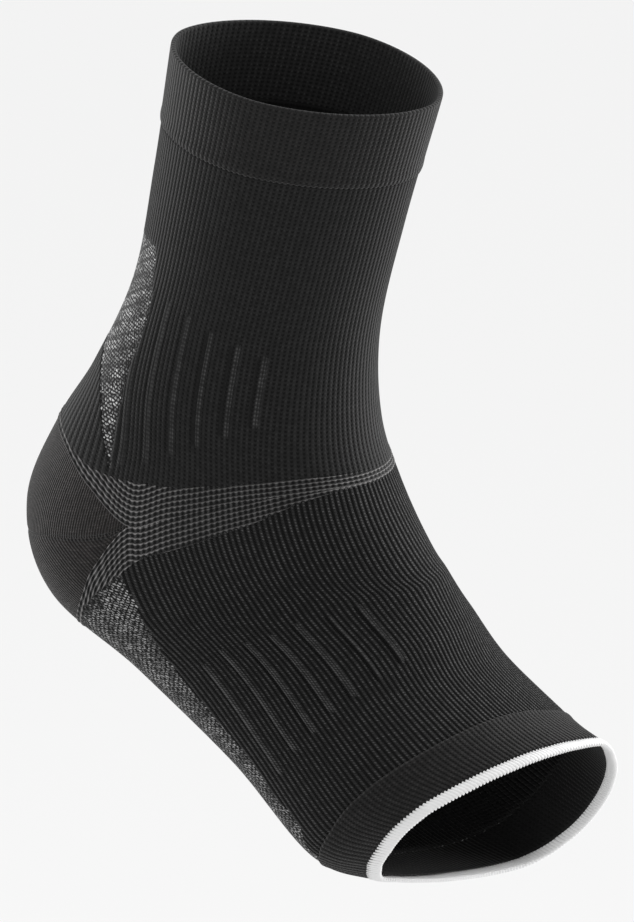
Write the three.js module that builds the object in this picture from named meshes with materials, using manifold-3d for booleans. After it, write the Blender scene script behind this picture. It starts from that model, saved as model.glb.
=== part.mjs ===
import * as THREE from 'three';
import { ParametricGeometry } from 'three/addons/geometries/ParametricGeometry.js';
import { mergeVertices } from 'three/addons/utils/BufferGeometryUtils.js';
import Module from 'manifold-3d';

const wasm = await Module();
wasm.setup();

// A knitted sleeve for the right foot and ankle, open at the leg and at the toes, in millimetres.
// The origin is the centre of the ankle inside it. +X runs to the toes, +Z up the leg,
// and the outer side of the foot faces -Y.

// Sizes of the leg part
const legHeight = 120; // ankle centre up to the top rim's highest point
const ankleDepth = 75; // front to back where the leg is narrowest
const ankleWidth = 64; // side to side there

// Sizes of the foot part
const footReach = 110; // ankle centre forward to the toe edge
const footDrop = 128; // ankle centre down to the toe edge's lowest point
const heelDepth = 128; // back of the heel to the instep
const footWidth = 93; // side to side at the ball of the foot
const toeSlant = 0.35; // how far the toe edge runs forward for each millimetre toward the big toe
const slantFrom = 0.7; // share of the sleeve's rows after which the slant grows

// Edges and bands
const cuffHeight = 24;
const cuffBead = 0.6; // extra thickness round the cuff's lower edge
const beadFrom = 0.6; // share of the cuff's height where it starts
const forefootHeight = 15;
const trimWidth = 3.6;
const fit = 0.3; // clear gap between neighbouring pieces

// Walls: what each piece adds outside the sleeve's skin line, and its thickness
const skins = {
  cuff: { proud: 0.5, wall: 2.2 },
  sleeve: { proud: 0, wall: 1.4 },
  pad: { proud: 0.3, wall: 1.8 },
  pocket: { proud: 0.1, wall: 1.6 },
  band: { proud: 0.2, wall: 1.6 },
  forefoot: { proud: 0.3, wall: 1.8 },
  trim: { proud: 0.7, wall: 2.6 },
};

// Mesh fineness
const sides = 48;
const stepsPerRow = 2;
const normalStep = 0.01; // turn and row step over which a normal is measured

// Sections down the leg. across is the centre's place forward and deep the depth, in ankle depths.
// up is in leg heights and wide in ankle widths. tilt turns the section's front up, in degrees,
// droop moves its widest place toward the back or sole, and square is its roundness exponent.
const legSections = [
  { name: 'rim', across: 0.3, up: 0.95, tilt: -9, deep: 1.075, wide: 1.18, droop: 0, square: 1.8 },
  { name: 'shin', across: 0.184, up: 0.63, tilt: -10.5, deep: 1.013, wide: 1.065, droop: 0, square: 1.8 },
  { name: 'narrow', across: 0.088, up: 0.352, tilt: -10, deep: 0.995, wide: 1.003, droop: 0, square: 1.9 },
  { name: 'ankle', across: 0.005, up: 0.122, tilt: -8.3, deep: 1.16, wide: 1.056, droop: 0, square: 2 },
];

// Sections round the heel and along the foot. across is in foot reaches, up in foot drops,
// deep in heel depths and wide in foot widths.
const footSections = [
  { name: 'tendon', across: -0.02, up: -0.04, tilt: -6.9, deep: 0.83, wide: 0.75, droop: 0, square: 2 },
  { name: 'heel', across: -0.02, up: -0.215, tilt: -2.3, deep: 0.99, wide: 0.75, droop: 0, square: 2 },
  { name: 'base', across: 0.033, up: -0.333, tilt: 7, deep: 0.963, wide: 0.776, droop: -0.06, square: 2.1 },
  { name: 'arch', across: 0.197, up: -0.45, tilt: 13.6, deep: 0.786, wide: 0.826, droop: -0.06, square: 2.2 },
  { name: 'waist', across: 0.4, up: -0.6, tilt: 27, deep: 0.605, wide: 0.916, droop: -0.12, square: 2.3 },
  { name: 'ball', across: 0.617, up: -0.747, tilt: 45, deep: 0.55, wide: 0.99, droop: -0.25, square: 2.4 },
  { name: 'toe edge', across: 0.798, up: -0.803, tilt: 47.8, deep: 0.525, wide: 1, droop: -0.39, square: 2 },
];

// Seam lines between the knit zones as seen from the side, from back to front or from top to bottom.
// across is in heel depths and up in foot drops.
const bandTopEdge = [
  { across: -0.62, up: 0.075 },
  { across: -0.43, up: 0.035 },
  { across: -0.36, up: 0.004 },
  { across: -0.27, up: -0.036 },
  { across: -0.17, up: -0.048 },
  { across: -0.02, up: -0.042 },
  { across: 0.13, up: -0.018 },
  { across: 0.25, up: -0.008 },
  { across: 0.35, up: -0.013 },
  { across: 0.5, up: -0.02 },
];
const bandLowEdge = [
  { across: -0.4, up: -0.6 },
  { across: -0.3, up: -0.435 },
  { across: -0.262, up: -0.36 },
  { across: -0.17, up: -0.272 },
  { across: -0.115, up: -0.227 },
  { across: -0.013, up: -0.183 },
  { across: 0.135, up: -0.119 },
  { across: 0.257, up: -0.06 },
  { across: 0.36, up: -0.038 },
  { across: 0.5, up: -0.04 },
];
const pocketTopEdge = [
  { across: -0.62, up: 0.055 },
  { across: -0.43, up: 0.018 },
  { across: -0.362, up: -0.009 },
  { across: -0.318, up: -0.042 },
  { across: -0.257, up: -0.088 },
  { across: -0.14, up: -0.155 },
  { across: 0, up: -0.225 },
];
const pocketLowEdge = [
  { across: 0, up: -0.03 },
  { across: -0.14, up: -0.155 },
  { across: -0.195, up: -0.203 },
  { across: -0.222, up: -0.24 },
  { across: -0.255, up: -0.29 },
  { across: -0.28, up: -0.35 },
  { across: -0.325, up: -0.44 },
  { across: -0.42, up: -0.6 },
];

// The arch pad's upper edge, from the heel to the toes. across is in foot reaches, up in foot drops.
const archEdge = [
  { across: -0.25, up: -0.2 },
  { across: -0.15, up: -0.33 },
  { across: -0.108, up: -0.389 },
  { across: -0.015, up: -0.488 },
  { across: 0.18, up: -0.634 },
  { across: 0.26, up: -0.708 },
  { across: 0.351, up: -0.778 },
  { across: 0.4, up: -0.86 },
  { across: 0.7, up: -0.955 },
  { across: 1.1, up: -1.05 },
];

// Edges of the pad beside the tendon. across is in ankle depths, up in leg heights.
const padFrontEdge = [
  { across: -0.2, up: 0.6 },
  { across: -0.2, up: 0.5 },
  { across: -0.2, up: 0.41 },
  { across: -0.236, up: 0.3 },
  { across: -0.288, up: 0.213 },
  { across: -0.316, up: 0.118 },
  { across: -0.34, up: 0.006 },
  { across: -0.36, up: -0.1 },
];
const padBackEdge = [
  { across: -0.3, up: -0.1 },
  { across: -0.375, up: 0.015 },
  { across: -0.415, up: 0.097 },
  { across: -0.456, up: 0.17 },
  { across: -0.52, up: 0.24 },
  { across: -0.75, up: 0.29 },
];
const padTopEdge = [
  { across: -0.75, up: 0.54 },
  { across: 0, up: 0.49 },
];

// Rows in millimetres, each with its centre, half depth and half width
const legRows = legSections.map((row) => ({
  ...row,
  x: row.across * ankleDepth,
  z: row.up * legHeight,
  halfDeep: (row.deep * ankleDepth) / 2,
  halfWide: (row.wide * ankleWidth) / 2,
}));
const footRows = footSections.map((row) => ({
  ...row,
  x: row.across * footReach,
  z: row.up * footDrop,
  halfDeep: (row.deep * heelDepth) / 2,
  halfWide: (row.wide * footWidth) / 2,
}));
const rows = [...legRows, ...footRows];
const lastRow = rows.length - 1;
const columns = ['x', 'z', 'tilt', 'halfDeep', 'halfWide', 'droop', 'square'];
const rowCurve = new THREE.CubicInterpolant(
  rows.map((row, index) => index),
  rows.flatMap((row) => columns.map((column) => row[column])),
  columns.length,
);

// Distance between the centres of a row and the next one
function rowDistance(index) {
  const here = rows[index];
  const next = rows[index + 1];
  return Math.hypot(next.x - here.x, next.z - here.z);
}

function signedPower(value, exponent) {
  return Math.sign(value) * Math.abs(value) ** exponent;
}

// A point of the skin line. around is the turn from the front over the inner side, in radians,
// and row is the place along the sleeve, counted in sections.
function skinPoint(around, row, target) {
  const [x, z, tilt, halfDeep, halfWide, droop, square] = rowCurve.evaluate(row);
  const forward = signedPower(Math.cos(around), 2 / square);
  const sideways = signedPower(Math.sin(around), 2 / square);
  const along = halfDeep * (forward + droop * sideways ** 2);
  const angle = THREE.MathUtils.degToRad(tilt);
  const y = halfWide * sideways;
  const slantStart = lastRow * slantFrom;
  const slant = toeSlant * y * THREE.MathUtils.clamp((row - slantStart) / (lastRow - slantStart), 0, 1);
  const toeAngle = THREE.MathUtils.degToRad(rows[lastRow].tilt);
  return target.set(
    x + along * Math.cos(angle) + slant * Math.sin(toeAngle),
    y,
    z + along * Math.sin(angle) - slant * Math.cos(toeAngle),
  );
}

// The same point moved outward along the surface's normal
function liftedPoint(around, row, lift, target) {
  const before = skinPoint(around - normalStep, row, new THREE.Vector3());
  const ahead = skinPoint(around + normalStep, row, new THREE.Vector3());
  const above = skinPoint(around, Math.max(row - normalStep, 0), new THREE.Vector3());
  const below = skinPoint(around, Math.min(row + normalStep, lastRow), new THREE.Vector3());
  const normal = ahead.sub(before).cross(above.sub(below)).normalize();
  return skinPoint(around, row, target).addScaledVector(normal, lift);
}

function toSolid(geometry) {
  const plain = geometry.clone();
  plain.deleteAttribute('normal');
  plain.deleteAttribute('uv');
  const merged = mergeVertices(plain);
  return new wasm.Manifold(new wasm.Mesh({
    numProp: 3,
    vertProperties: new Float32Array(merged.attributes.position.array),
    triVerts: new Uint32Array(merged.index.array),
  }));
}

function toGeometry(solid) {
  const mesh = solid.getMesh();
  const geometry = new THREE.BufferGeometry();
  geometry.setAttribute('position', new THREE.BufferAttribute(mesh.vertProperties, 3));
  geometry.setIndex(new THREE.BufferAttribute(mesh.triVerts, 1));
  geometry.computeVertexNormals();
  return geometry;
}

// A closed knitted tube between two places along the sleeve. Its wall runs down the outside
// and back up the inside. swell gives extra height outside at a share of the length.
function knitTube(from, to, skin, swell = () => 0) {
  const steps = Math.max(Math.ceil((to - from) * stepsPerRow), 3);
  const stacks = 2 * steps + 2;
  const wallPoint = (turn, loop, target) => {
    const step = Math.round(loop * stacks) % stacks;
    const outside = step <= steps;
    const share = (outside ? step : 2 * steps + 1 - step) / steps;
    const lift = outside ? skin.proud + swell(share) : skin.proud - skin.wall;
    const side = sides - (Math.round(turn * sides) % sides);
    const around = (side % sides) / sides * 2 * Math.PI;
    liftedPoint(around, from + share * (to - from), lift, target);
  };
  return toSolid(new ParametricGeometry(wallPoint, sides, stacks));
}

function corner(x, y) {
  return new THREE.Vector2(x, y);
}

// A seam line in millimetres as a smooth run of points, moved to its left by shift
function seamLine(table, acrossUnit, upUnit, shift = 0) {
  const knots = table.map((row) => corner(row.across * acrossUnit, row.up * upUnit));
  const curve = new THREE.SplineCurve(knots);
  const count = 2 * (table.length - 1);
  return Array.from({ length: count + 1 }, (unused, index) => {
    const heading = curve.getTangent(index / count);
    return curve.getPoint(index / count).add(corner(-heading.y, heading.x).multiplyScalar(shift));
  });
}

// A solid that holds all of the sleeve whose side view lies inside an outline
function sideCutter(outline) {
  const reach = footWidth;
  const settings = { depth: 2 * reach, bevelEnabled: false };
  const geometry = new THREE.ExtrudeGeometry(new THREE.Shape(outline), settings);
  geometry.rotateX(Math.PI / 2);
  geometry.translate(0, reach, 0);
  return toSolid(geometry);
}

// Corners of a field well outside the sleeve
const field = 2 * (legHeight + footDrop);
const upFront = corner(field, field);
const upBack = corner(-field, field);
const downFront = corner(field, -field);
const downBack = corner(-field, -field);

// Each zone's cutter, grown by a distance
function aboveBand(grow) {
  const line = seamLine(bandTopEdge, heelDepth, footDrop, -grow);
  const ends = [corner(field, line.at(-1).y), upFront, upBack, corner(-field, line[0].y)];
  return sideCutter([...line, ...ends]);
}

function belowBand(grow) {
  const line = seamLine(bandLowEdge, heelDepth, footDrop, grow);
  const ends = [corner(field, line.at(-1).y), downFront, corner(line[0].x, -field)];
  return sideCutter([...line, ...ends]);
}

function pocketWedge(grow) {
  const top = seamLine(pocketTopEdge, heelDepth, footDrop, grow);
  const low = seamLine(pocketLowEdge, heelDepth, footDrop, grow);
  const topEnds = [corner(top.at(-1).x, -field), downBack, corner(-field, top[0].y)];
  const lowEnds = [corner(low.at(-1).x, -field), downBack, upBack, corner(low[0].x, field)];
  return sideCutter([...top, ...topEnds]).intersect(sideCutter([...low, ...lowEnds]));
}

function archField(grow) {
  const line = seamLine(archEdge, footReach, footDrop, grow);
  const ends = [corner(line.at(-1).x, -field), downBack, corner(-field, line[0].y)];
  return sideCutter([...line, ...ends]);
}

function padField(grow) {
  const front = seamLine(padFrontEdge, ankleDepth, legHeight, grow);
  const back = seamLine(padBackEdge, ankleDepth, legHeight, grow);
  const top = seamLine(padTopEdge, ankleDepth, legHeight, grow);
  const frontEnds = [corner(front.at(-1).x, -field), downBack, upBack, corner(front[0].x, field)];
  const backEnds = [corner(-field, back.at(-1).y), upBack, upFront, corner(field, back[0].y)];
  const topEnds = [corner(field, top.at(-1).y), downFront, downBack, corner(-field, top[0].y)];
  return sideCutter([...front, ...frontEnds])
    .intersect(sideCutter([...back, ...backEnds]))
    .intersect(sideCutter([...top, ...topEnds]));
}

// Places along the sleeve where the bands end
const cuffEnd = cuffHeight / rowDistance(0);
const topFit = fit / rowDistance(0);
const toeDistance = rowDistance(lastRow - 1);
const trimStart = lastRow - trimWidth / toeDistance;
const forefootStart = trimStart - forefootHeight / toeDistance;
const toeFit = fit / toeDistance;

// Rows between which each zone's own tube is made before it is cut to its seams
const forefootEdge = forefootStart - toeFit;
const spans = {
  leg: { from: cuffEnd + topFit, to: 4.7 },
  pad: { from: 1, to: 4.2 },
  band: { from: 3.3, to: 7.6 },
  pocket: { from: 3.5, to: 7.6 },
  foot: { from: 3.3, to: forefootEdge },
  arch: { from: 5, to: forefootEdge },
};

function zoneTube(span, skin) {
  return knitTube(span.from, span.to, skin);
}

function ankleCuff() {
  return knitTube(0, cuffEnd, skins.cuff, (share) => (share > beadFrom && share < 1 ? cuffBead : 0));
}

function legSleeve() {
  return zoneTube(spans.leg, skins.sleeve).intersect(aboveBand(-fit / 2)).subtract(padField(fit / 2));
}

function achillesPad() {
  return zoneTube(spans.pad, skins.pad).intersect(padField(-fit / 2));
}

function heelPocket() {
  return zoneTube(spans.pocket, skins.pocket).intersect(pocketWedge(-fit / 2));
}

function supportBand() {
  return zoneTube(spans.band, skins.band)
    .subtract(aboveBand(fit / 2))
    .subtract(belowBand(fit / 2))
    .subtract(pocketWedge(fit / 2));
}

function footSleeve() {
  return zoneTube(spans.foot, skins.sleeve).intersect(belowBand(-fit / 2)).subtract(archField(fit / 2));
}

function archPad() {
  return zoneTube(spans.arch, skins.pad).intersect(belowBand(-fit / 2)).intersect(archField(-fit / 2));
}

function forefootCuff() {
  return knitTube(forefootStart, trimStart - toeFit, skins.forefoot);
}

function toeTrim() {
  return knitTube(trimStart, lastRow, skins.trim);
}

function yarn(color, roughness) {
  return new THREE.MeshStandardMaterial({ color, roughness, metalness: 0 });
}

const blackKnit = 0x2b2b2d;
const pieces = [
  { name: 'ankle_cuff', solid: ankleCuff(), material: yarn(0x2a2a2b, 0.9) },
  { name: 'leg_sleeve', solid: legSleeve(), material: yarn(blackKnit, 0.85) },
  { name: 'achilles_pad', solid: achillesPad(), material: yarn(0x505053, 0.9) },
  { name: 'heel_pocket', solid: heelPocket(), material: yarn(0x2d2a2c, 0.8) },
  { name: 'support_band', solid: supportBand(), material: yarn(0x4a4a4d, 0.85) },
  { name: 'foot_sleeve', solid: footSleeve(), material: yarn(blackKnit, 0.85) },
  { name: 'arch_pad', solid: archPad(), material: yarn(0x49494c, 0.9) },
  { name: 'forefoot_cuff', solid: forefootCuff(), material: yarn(0x2c2c2e, 0.9) },
  { name: 'toe_trim', solid: toeTrim(), material: yarn(0xe9e9e8, 0.8) },
];

const group = new THREE.Group();
for (const piece of pieces) {
  const mesh = new THREE.Mesh(toGeometry(piece.solid), piece.material);
  mesh.name = piece.name;
  group.add(mesh);
}

export default group;
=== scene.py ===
import bpy
import math
import numpy as np
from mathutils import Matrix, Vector


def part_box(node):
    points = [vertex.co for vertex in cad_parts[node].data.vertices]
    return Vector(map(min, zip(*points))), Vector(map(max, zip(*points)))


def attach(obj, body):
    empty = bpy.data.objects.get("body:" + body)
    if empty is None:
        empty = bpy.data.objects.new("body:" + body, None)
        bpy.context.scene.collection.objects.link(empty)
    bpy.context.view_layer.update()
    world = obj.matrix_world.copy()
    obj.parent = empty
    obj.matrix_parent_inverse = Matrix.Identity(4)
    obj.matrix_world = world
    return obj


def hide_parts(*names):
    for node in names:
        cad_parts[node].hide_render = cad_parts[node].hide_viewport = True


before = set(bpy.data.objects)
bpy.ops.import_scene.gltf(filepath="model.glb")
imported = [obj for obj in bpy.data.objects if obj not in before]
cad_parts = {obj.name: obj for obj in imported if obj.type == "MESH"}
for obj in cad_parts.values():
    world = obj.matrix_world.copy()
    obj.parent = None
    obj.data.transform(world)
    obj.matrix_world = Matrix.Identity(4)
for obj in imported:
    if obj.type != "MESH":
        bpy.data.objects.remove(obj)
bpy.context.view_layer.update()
bpy.ops.object.select_all(action="DESELECT")
print("frame loaded, nodes:", len(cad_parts))

# The sleeve's own sizes in metres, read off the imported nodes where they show
trimLow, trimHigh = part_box("toe_trim")
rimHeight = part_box("ankle_cuff")[1][2]
pastSkin = dict(rim=0.0002, toes=0.0018, sides=0.0014)     # how far these nodes reach past the skin line
sleeve = dict(
    legHeight=rimHeight - pastSkin["rim"],
    ankleDepth=0.075,
    ankleWidth=0.064,
    footReach=trimHigh[0] - pastSkin["toes"],
    footDrop=0.128,
    heelDepth=0.128,
    footWidth=trimHigh[1] - trimLow[1] - pastSkin["sides"],
    toeSlant=0.35,      # how far the toe edge runs on toward the inner side, for each metre across
    slantFrom=0.7,      # share of the sleeve's rows where that slant begins
    dentRows=1.1,       # rows before the toe edge over which its dents grow
    cuffHeight=0.024,
    forefootHeight=0.015,
    trimWidth=0.0036,
    leastBand=0.0008,   # height of the band's arms at their narrowest
    perRib=4,           # mesh columns for each rib
    ribShape=(-0.6, 0.2, 0.4, 0.2),     # how high they lie: a narrow groove and a broad crest
    course=0.00125,     # length of a stitch along the rib
    tuck=0.0004,        # how far a zone runs on under the edge of its neighbour
    edgeLift=0.0001,    # how far that neighbour lies over it
)

# Sections down the leg and round the foot: centre forward and up, tilt in degrees, depth, width,
# droop of the widest place and squareness. Lengths are shares of the sizes named beside each table
legSections = [      # of ankleDepth, legHeight, ankleDepth, ankleWidth
    (0.300, 0.950, -9.0, 1.075, 1.180, 0.0, 1.8),
    (0.184, 0.630, -10.5, 1.013, 1.065, 0.0, 1.8),
    (0.088, 0.352, -10.0, 0.995, 1.003, 0.0, 1.9),
    (0.005, 0.122, -8.3, 1.160, 1.056, 0.0, 2.0),
]
footSections = [     # of footReach, footDrop, heelDepth, footWidth
    (-0.020, -0.040, -6.9, 0.830, 0.750, 0.0, 2.0),
    (-0.020, -0.215, -2.3, 0.990, 0.750, 0.0, 2.0),
    (0.033, -0.333, 7.0, 0.963, 0.776, -0.06, 2.1),
    (0.197, -0.450, 13.6, 0.786, 0.826, -0.06, 2.2),
    (0.400, -0.600, 27.0, 0.605, 0.916, -0.12, 2.3),
    (0.617, -0.747, 45.0, 0.550, 0.990, -0.25, 2.4),
    (0.798, -0.803, 47.8, 0.525, 1.000, -0.39, 2.0),
]

# Seam lines seen from the side, forward and up, as shares of heelDepth and footDrop
seams = dict(
    bandTop=[(-0.62, 0.075), (-0.43, 0.035), (-0.36, 0.004), (-0.27, -0.036), (-0.17, -0.048),
             (-0.02, -0.042), (0.13, -0.018), (0.25, -0.008), (0.35, -0.013), (0.5, -0.02)],
    bandLow=[(-0.4, -0.6), (-0.3, -0.435), (-0.262, -0.36), (-0.17, -0.272), (-0.115, -0.227),
             (-0.013, -0.183), (0.135, -0.119), (0.257, -0.06), (0.36, -0.038), (0.5, -0.04)],
    pocketTop=[(-0.62, 0.055), (-0.43, 0.018), (-0.362, -0.009), (-0.318, -0.042),
               (-0.257, -0.088), (-0.144, -0.155)],
    pocketLow=[(-0.42, -0.6), (-0.325, -0.44), (-0.28, -0.35), (-0.255, -0.29), (-0.222, -0.24),
               (-0.195, -0.203), (-0.144, -0.155)],
    bandMiddle=[(-0.027, -0.112), (0.094, -0.071), (0.191, -0.05), (0.281, -0.038),
                (0.36, -0.036), (0.5, -0.038)],
)

# The arch pad's upper edge, shares of footReach and footDrop
archSeam = [(-0.25, -0.2), (-0.15, -0.33), (-0.108, -0.389), (-0.015, -0.488), (0.18, -0.634),
            (0.26, -0.708), (0.351, -0.778), (0.4, -0.86), (0.7, -0.955), (1.1, -1.05)]

# The pad beside the tendon: its front edge from low to high and its back edge from high to low,
# as shares of ankleDepth and legHeight
padFrontSeam = [(-0.36, -0.1), (-0.34, 0.006), (-0.316, 0.118), (-0.288, 0.213), (-0.236, 0.3),
                (-0.2, 0.41), (-0.2, 0.6)]
padBackSeam = [(-0.75, 0.29), (-0.52, 0.24), (-0.456, 0.17), (-0.415, 0.097), (-0.375, 0.015), (-0.3, -0.1)]


def smoothTable(table, finePerKnot=24):
    # a smooth run of values through the rows of a table
    knots = np.array(table, float)
    last = len(knots) - 1
    slope = np.empty_like(knots)
    slope[1:-1] = (knots[2:] - knots[:-2]) / 2
    slope[0], slope[-1] = knots[1] - knots[0], knots[-1] - knots[-2]
    place = np.linspace(0, last, last * finePerKnot + 1)
    start = np.clip(np.floor(place).astype(int), 0, last - 1)
    f = (place - start)[:, None]
    return ((2 * f**3 - 3 * f**2 + 1) * knots[start] + (f**3 - 2 * f**2 + f) * slope[start]
            + (3 * f**2 - 2 * f**3) * knots[start + 1] + (f**3 - f**2) * slope[start + 1])


def sectionRows():
    # the sections in metres, with half their depth and width
    s = sleeve
    legSizes = (s["ankleDepth"], s["legHeight"], s["ankleDepth"], s["ankleWidth"])
    footSizes = (s["footReach"], s["footDrop"], s["heelDepth"], s["footWidth"])
    rows = []
    for sections, (across, up, deep, wide) in ((legSections, legSizes), (footSections, footSizes)):
        for x, z, tilt, depth, width, droop, square in sections:
            rows.append((x * across, z * up, tilt, depth * deep / 2, width * wide / 2, droop, square))
    return rows


def signedPower(value, exponent):
    return np.sign(value) * np.abs(value) ** exponent


# The knit of the leg, band and heel, and the finer one of the foot. The ribs draw aside between some
# rows, as the heel takes more cloth; all shares are of the way round, less than 0 on the outer side
legRibs = dict(
    ribs=136,
    height=0.0001,
    lean=0.0085, leanRow=2.0,              # forward for each row above the one where the stripes begin
    draws=[(0.039, 2.0, 3.9)],             # share drawn aside, and between which rows
    drawn=[(-0.5, 0), (-0.368, 1), (-0.153, 0), (0.153, 0), (0.368, -1), (0.5, 0)],     # where, and how much
)
footRibs = dict(
    ribs=158,
    height=0.00034,
    lean=0.0, leanRow=0.0,
    draws=[(0.027, 3.9, 6.0), (-0.010, 6.7, 8.4)],
    drawn=[(-0.5, 0), (-0.3, 1), (-0.12, 0.8), (0.0, 0.35), (0.15, 0), (0.5, 0)],
)

# Dents of the toe edge, where the cloth lies flatter or bends sharply at the sole's outer corner:
# turn in degrees from the top over the inner side, and how far outward in metres
toeDents = [(0, -0.0020), (12, 0.0), (30, -0.0016), (60, -0.0020), (102, -0.0030), (132, -0.0003),
            (180, -0.0002), (210, -0.0014), (222, -0.0010), (240, -0.0041), (256, -0.0051),
            (266, -0.0048), (284, -0.0012), (296, 0.0002), (312, -0.0018), (330, -0.0030), (348, -0.0030)]


def ease(value, low, high):
    t = np.clip((value - low) / (high - low), 0, 1)
    return t * t * (3 - 2 * t)


def ribShares(knit, row):
    # where the mesh columns lie round a section, as shares of its length
    columns = knit["ribs"] * sleeve["perRib"]
    share = np.arange(columns) / columns
    signed = np.where(share > 0.5, share - 1, share)
    aside = np.interp(signed, *np.array(knit["drawn"]).T)
    aside = aside * sum(most * ease(row, first, full) for most, first, full in knit["draws"])
    return share + aside - knit["lean"] * max(knit["leanRow"] - row, 0) * np.sin(2 * np.pi * signed)


def sectionCurves(finePerRow, turns):
    # points of the skin line, one row for each place along the sleeve
    rows = sectionRows()
    values = smoothTable(rows, finePerRow)
    place = np.linspace(0, len(rows) - 1, len(values))
    around = np.arange(turns + 1) / turns * 2 * math.pi
    x, z, tilt, deep, wide, droop, square = values.T[:, :, None]
    forward = signedPower(np.cos(around)[None], 2 / square)
    sideways = signedPower(np.sin(around)[None], 2 / square)
    along = deep * (forward + droop * sideways**2)
    y = wide * sideways
    last = len(rows) - 1
    turn, outward = np.array(toeDents).T
    edge = np.interp(np.degrees(around), turn, outward, period=360)
    edge = ease(place, last - sleeve["dentRows"], last)[:, None] * edge[None, :]
    along = along + edge * np.cos(around)[None]
    y = y + edge * np.sin(around)[None]
    slantFrom = sleeve["slantFrom"] * last
    slant = sleeve["toeSlant"] * y * np.clip((place - slantFrom) / (last - slantFrom), 0, 1)[:, None]
    angle, toeAngle = np.radians(tilt), math.radians(rows[-1][2])
    points = np.stack([x + along * np.cos(angle) + slant * math.sin(toeAngle), y,
                       z + along * np.sin(angle) - slant * math.cos(toeAngle)], -1)
    return place, points


def layOutKnit(knit, finePerRow=56, turns=1440):
    # the skin's points and outward normals in columns that follow the ribs, and the length down each
    place, curves = sectionCurves(finePerRow, turns)
    columns = knit["ribs"] * sleeve["perRib"]
    points = np.empty((len(curves), columns, 3))
    for i, ring in enumerate(curves):
        run = np.concatenate([[0], np.cumsum(np.linalg.norm(np.diff(ring, axis=0), axis=1))])
        want = ribShares(knit, place[i]) % 1 * run[-1]
        for axis in range(3):
            points[i, :, axis] = np.interp(want, run, ring[:, axis])
    normals = np.cross(np.gradient(points, axis=0), np.roll(points, -1, 1) - np.roll(points, 1, 1))
    normals /= np.linalg.norm(normals, axis=2, keepdims=True)
    steps = np.linalg.norm(np.diff(points, axis=0), axis=2)
    length = np.concatenate([np.zeros((1, columns)), np.cumsum(steps, axis=0)])
    skin = dict(knit, columns=columns, list=np.arange(columns), points=points, normals=normals, length=length)
    skin["ends"] = zoneEnds(skin)
    return skin


def atLength(skin, column, lengths):
    # points and normals of one column at lengths measured down it from the top rim
    run = skin["length"][:, column]
    point = np.stack([np.interp(lengths, run, skin["points"][:, column, a]) for a in range(3)], -1)
    normal = np.stack([np.interp(lengths, run, skin["normals"][:, column, a]) for a in range(3)], -1)
    return point, normal / np.linalg.norm(normal, axis=-1, keepdims=True)


def seamHeight(table, acrossSize, upSize):
    # a seam line as a function that gives its height at any place forward
    line = smoothTable(table) * (acrossSize, upSize)
    order = np.argsort(line[:, 0])
    return lambda x: np.interp(x, line[order, 0], line[order, 1])


def seamForward(table, acrossSize, upSize):
    # a steep seam line as a function that gives its place forward at any height
    line = smoothTable(table) * (acrossSize, upSize)
    return lambda z: np.interp(z, line[:, 1], line[:, 0])


def crossing(skin, column, height, after):
    # length down a column where it first goes below a seam line
    run = skin["length"][:, column]
    above = skin["points"][:, column, 2] - height(skin["points"][:, column, 0])
    i = np.nonzero((above < 0) & (run > after))[0][0]
    share = above[i - 1] / (above[i - 1] - above[i])
    return run[i - 1] + share * (run[i] - run[i - 1])


def zoneEnds(skin):
    # lengths down each column where the knit zones meet
    s = sleeve
    size = (s["heelDepth"], s["footDrop"])
    bandTop, bandLow = seamHeight(seams["bandTop"], *size), seamHeight(seams["bandLow"], *size)
    upper = seamHeight(seams["pocketTop"] + seams["bandMiddle"], *size)
    lower = seamHeight(seams["pocketLow"] + seams["bandMiddle"], *size)
    lines = (bandTop, upper, lower, bandLow)
    after = s["cuffHeight"] * 1.5       # no seam lies above this
    ends = np.array([[crossing(skin, c, line, after) for line in lines] for c in skin["list"]])
    ends[:, 1] = np.maximum(ends[:, 1], ends[:, 0] + s["leastBand"])
    ends[:, 2] = np.maximum(ends[:, 2], ends[:, 1])
    ends[:, 3] = np.maximum(ends[:, 3], ends[:, 2] + s["leastBand"])
    total = skin["length"][-1]
    trimStart = total - s["trimWidth"]
    return dict(cuff=np.full(skin["columns"], s["cuffHeight"]), bandTop=ends[:, 0], pocketTop=ends[:, 1],
                pocketLow=ends[:, 2], bandLow=ends[:, 3], forefoot=trimStart - s["forefootHeight"],
                trim=trimStart, end=total)


legSkin = layOutKnit(legRibs)
footSkin = layOutKnit(footRibs)
print("skin laid out, columns:", legSkin["columns"], "and", footSkin["columns"])


def ribRelief(skin):
    # height of each column over the skin line
    return skin["height"] * np.array(sleeve["ribShape"])[skin["list"] % sleeve["perRib"]]


def gridOfZone(skin, start, end, rows, lift=None):
    # points of a zone from its start to its end down every column, raised by lift
    shares = np.linspace(0, 1, rows + 1)
    points = np.empty((rows + 1, skin["columns"], 3))
    normals = np.empty_like(points)
    for c in skin["list"]:
        points[:, c], normals[:, c] = atLength(skin, c, start[c] + shares * (end[c] - start[c]))
    if lift is None:
        lift = ribRelief(skin)[None, :]
    return points + normals * np.broadcast_to(lift, points.shape[:2])[..., None]


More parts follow.
